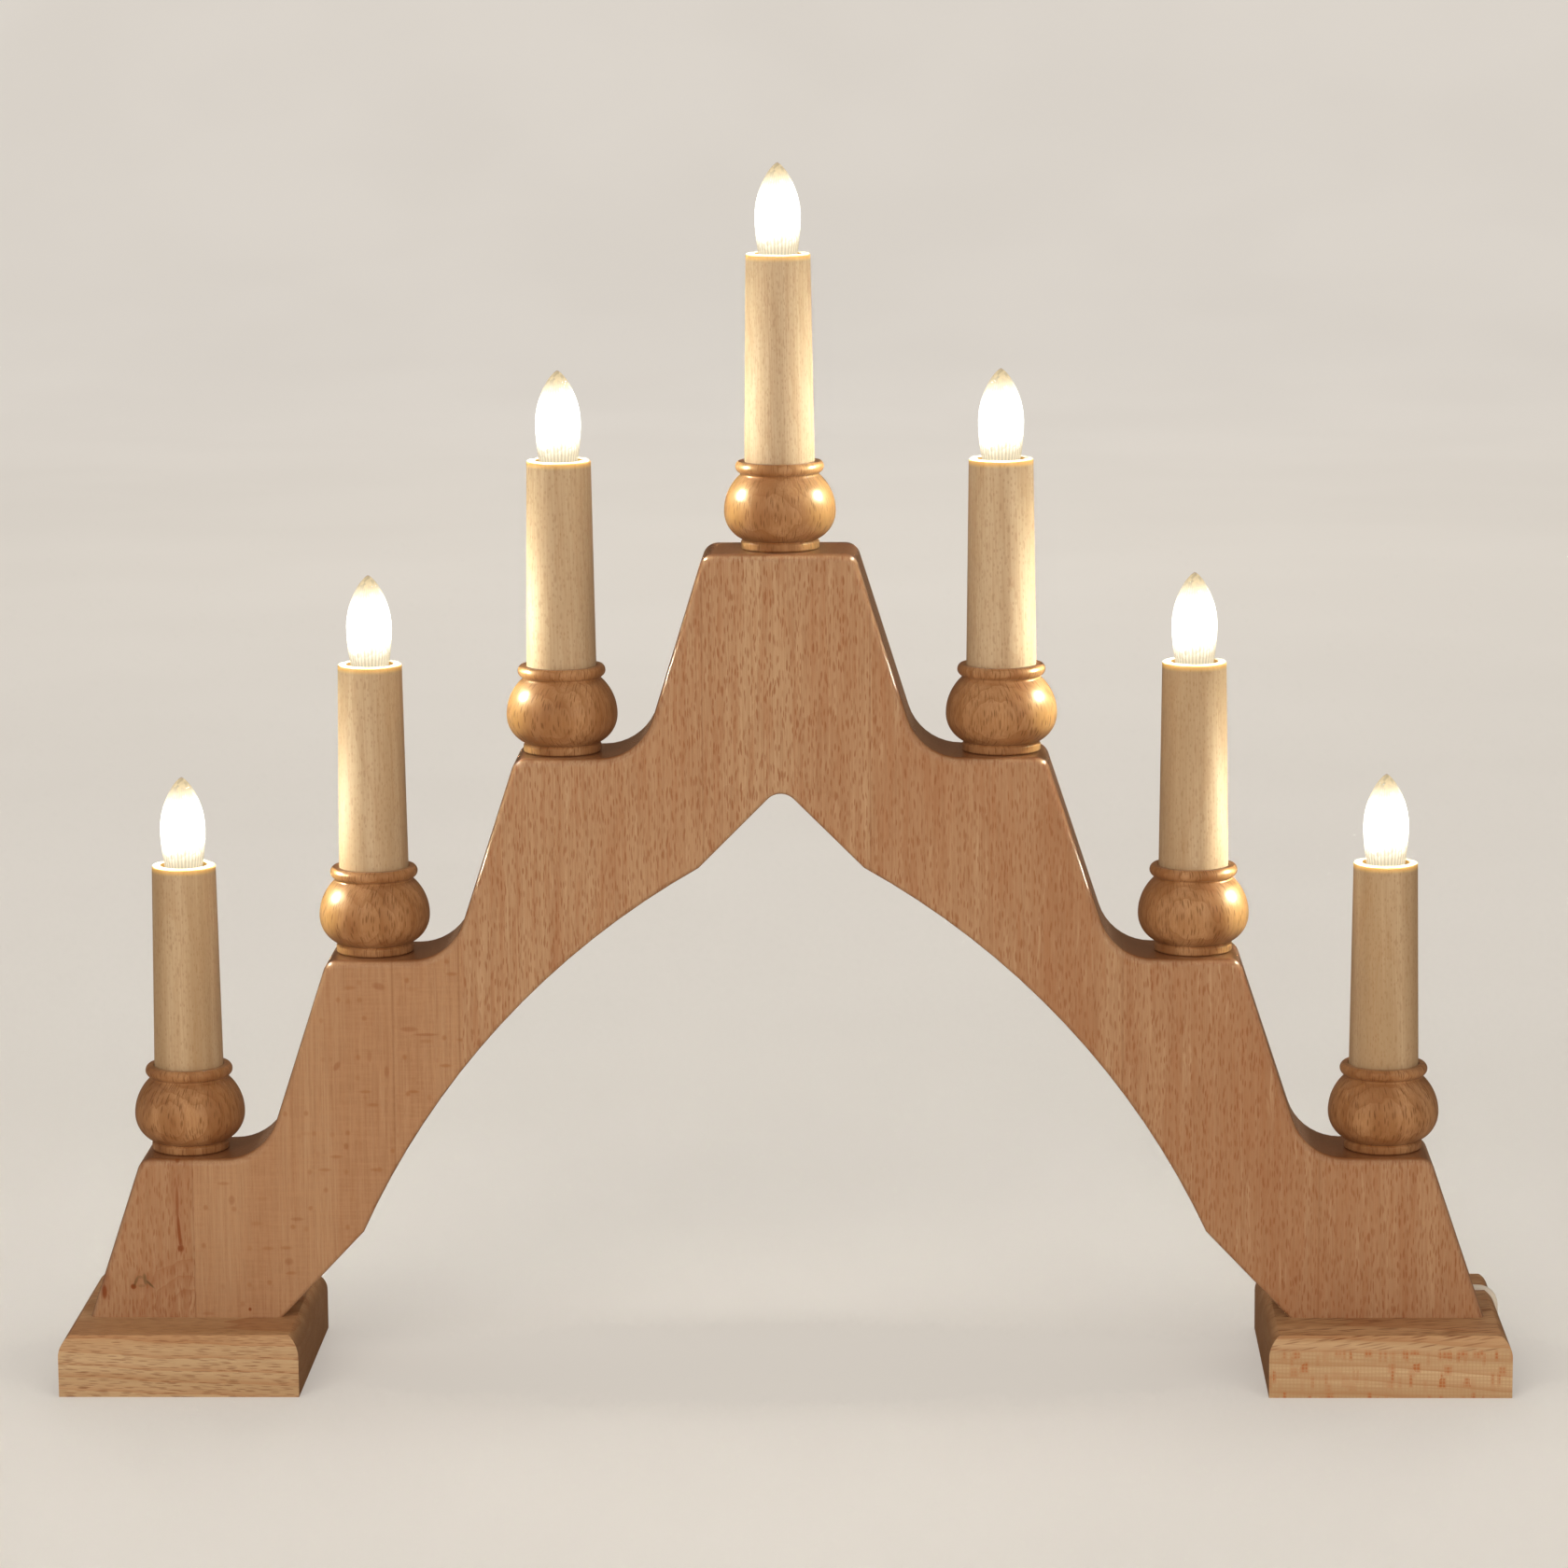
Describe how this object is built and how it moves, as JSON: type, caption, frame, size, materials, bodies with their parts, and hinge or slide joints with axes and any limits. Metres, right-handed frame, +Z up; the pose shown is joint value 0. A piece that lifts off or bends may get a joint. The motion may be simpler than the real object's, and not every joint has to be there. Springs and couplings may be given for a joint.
{
  "type": "electric candle arch",
  "caption": "Stepped wooden candle arch on two feet, with turned cups, wooden candle tubes and screw-in candle bulbs, and a mains lead coiled behind it.",
  "frame": {"origin": "on the floor under the middle of the arch, halfway between the board's two faces", "axes": "+X along the arch to the viewer's right, +Y to the back, +Z up"},
  "size_m": [0.4795, 0.1846, 0.399],
  "materials": {
    "board_wood": "satin",
    "foot_wood": "satin",
    "cup_wood": "satin",
    "tube_wood": "satin",
    "steel": "satin",
    "holder_plastic": "matte",
    "contact_black": "gloss",
    "cap_brass": "satin",
    "bulb_glass": "gloss",
    "filament_metal": "satin",
    "wire_plastic": "matte",
    "lead_plastic": "satin",
    "plug_plastic": "satin",
    "pin_metal": "polished"
  },
  "bodies": {
    "arch": {"arch_board": "board_wood", "left_foot": "foot_wood", "right_foot": "foot_wood", "foot_screws": "steel", "candle_cup_1": "cup_wood", "candle_cup_2": "cup_wood", "candle_cup_3": "cup_wood", "candle_cup_4": "cup_wood", "candle_cup_5": "cup_wood", "candle_cup_6": "cup_wood", "candle_cup_7": "cup_wood", "candle_tube_1": "tube_wood", "candle_tube_2": "tube_wood", "candle_tube_3": "tube_wood", "candle_tube_4": "tube_wood", "candle_tube_5": "tube_wood", "candle_tube_6": "tube_wood", "candle_tube_7": "tube_wood", "lamp_holder_1": "holder_plastic", "lamp_holder_2": "holder_plastic", "lamp_holder_3": "holder_plastic", "lamp_holder_4": "holder_plastic", "lamp_holder_5": "holder_plastic", "lamp_holder_6": "holder_plastic", "lamp_holder_7": "holder_plastic", "series_wiring": "wire_plastic", "lead_sleeve": "lead_plastic", "mains_lead": "lead_plastic", "lead_coil": "lead_plastic", "lead_tail": "lead_plastic", "mains_plug": "plug_plastic", "plug_pins": "pin_metal"},
    "contact_1": {"bulb_contact_1": "contact_black"},
    "bulb_1": {"bulb_cap_1": "cap_brass", "bulb_glass_1": "bulb_glass", "bulb_filament_1": "filament_metal"},
    "contact_2": {"bulb_contact_2": "contact_black"},
    "bulb_2": {"bulb_cap_2": "cap_brass", "bulb_glass_2": "bulb_glass", "bulb_filament_2": "filament_metal"},
    "contact_3": {"bulb_contact_3": "contact_black"},
    "bulb_3": {"bulb_cap_3": "cap_brass", "bulb_glass_3": "bulb_glass", "bulb_filament_3": "filament_metal"},
    "contact_4": {"bulb_contact_4": "contact_black"},
    "bulb_4": {"bulb_cap_4": "cap_brass", "bulb_glass_4": "bulb_glass", "bulb_filament_4": "filament_metal"},
    "contact_5": {"bulb_contact_5": "contact_black"},
    "bulb_5": {"bulb_cap_5": "cap_brass", "bulb_glass_5": "bulb_glass", "bulb_filament_5": "filament_metal"},
    "contact_6": {"bulb_contact_6": "contact_black"},
    "bulb_6": {"bulb_cap_6": "cap_brass", "bulb_glass_6": "bulb_glass", "bulb_filament_6": "filament_metal"},
    "contact_7": {"bulb_contact_7": "contact_black"},
    "bulb_7": {"bulb_cap_7": "cap_brass", "bulb_glass_7": "bulb_glass", "bulb_filament_7": "filament_metal"}
  },
  "joints": [
    {"name": "bulb_1_rise", "type": "slide", "parent": "arch", "child": "contact_1", "axis": [0, 0, 1], "range_m": [0, 0.00725]},
    {"name": "bulb_1_turn", "type": "hinge", "parent": "contact_1", "child": "bulb_1", "pos_m": [-0.198, 0, 0.155], "axis": [0, 0, 1], "range_deg": [0, 1440]},
    {"name": "bulb_2_rise", "type": "slide", "parent": "arch", "child": "contact_2", "axis": [0, 0, 1], "range_m": [0, 0.00725]},
    {"name": "bulb_2_turn", "type": "hinge", "parent": "contact_2", "child": "bulb_2", "pos_m": [-0.135, 0, 0.2218], "axis": [0, 0, 1], "range_deg": [0, 1440]},
    {"name": "bulb_3_rise", "type": "slide", "parent": "arch", "child": "contact_3", "axis": [0, 0, 1], "range_m": [0, 0.00725]},
    {"name": "bulb_3_turn", "type": "hinge", "parent": "contact_3", "child": "bulb_3", "pos_m": [-0.072, 0, 0.2886], "axis": [0, 0, 1], "range_deg": [0, 1440]},
    {"name": "bulb_4_rise", "type": "slide", "parent": "arch", "child": "contact_4", "axis": [0, 0, 1], "range_m": [0, 0.00725]},
    {"name": "bulb_4_turn", "type": "hinge", "parent": "contact_4", "child": "bulb_4", "pos_m": [0, 0, 0.3554], "axis": [0, 0, 1], "range_deg": [0, 1440]},
    {"name": "bulb_5_rise", "type": "slide", "parent": "arch", "child": "contact_5", "axis": [0, 0, 1], "range_m": [0, 0.00725]},
    {"name": "bulb_5_turn", "type": "hinge", "parent": "contact_5", "child": "bulb_5", "pos_m": [0.072, 0, 0.2886], "axis": [0, 0, 1], "range_deg": [0, 1440]},
    {"name": "bulb_6_rise", "type": "slide", "parent": "arch", "child": "contact_6", "axis": [0, 0, 1], "range_m": [0, 0.00725]},
    {"name": "bulb_6_turn", "type": "hinge", "parent": "contact_6", "child": "bulb_6", "pos_m": [0.135, 0, 0.2218], "axis": [0, 0, 1], "range_deg": [0, 1440]},
    {"name": "bulb_7_rise", "type": "slide", "parent": "arch", "child": "contact_7", "axis": [0, 0, 1], "range_m": [0, 0.00725]},
    {"name": "bulb_7_turn", "type": "hinge", "parent": "contact_7", "child": "bulb_7", "pos_m": [0.198, 0, 0.155], "axis": [0, 0, 1], "range_deg": [0, 1440]}
  ],
  "couplings": [
    {"joint": "bulb_1_rise", "follows": "bulb_1_turn", "m_per_rad": 0.00028807},
    {"joint": "bulb_2_rise", "follows": "bulb_2_turn", "m_per_rad": 0.00028807},
    {"joint": "bulb_3_rise", "follows": "bulb_3_turn", "m_per_rad": 0.00028807},
    {"joint": "bulb_4_rise", "follows": "bulb_4_turn", "m_per_rad": 0.00028807},
    {"joint": "bulb_5_rise", "follows": "bulb_5_turn", "m_per_rad": 0.00028807},
    {"joint": "bulb_6_rise", "follows": "bulb_6_turn", "m_per_rad": 0.00028807},
    {"joint": "bulb_7_rise", "follows": "bulb_7_turn", "m_per_rad": 0.00028807}
  ]
}
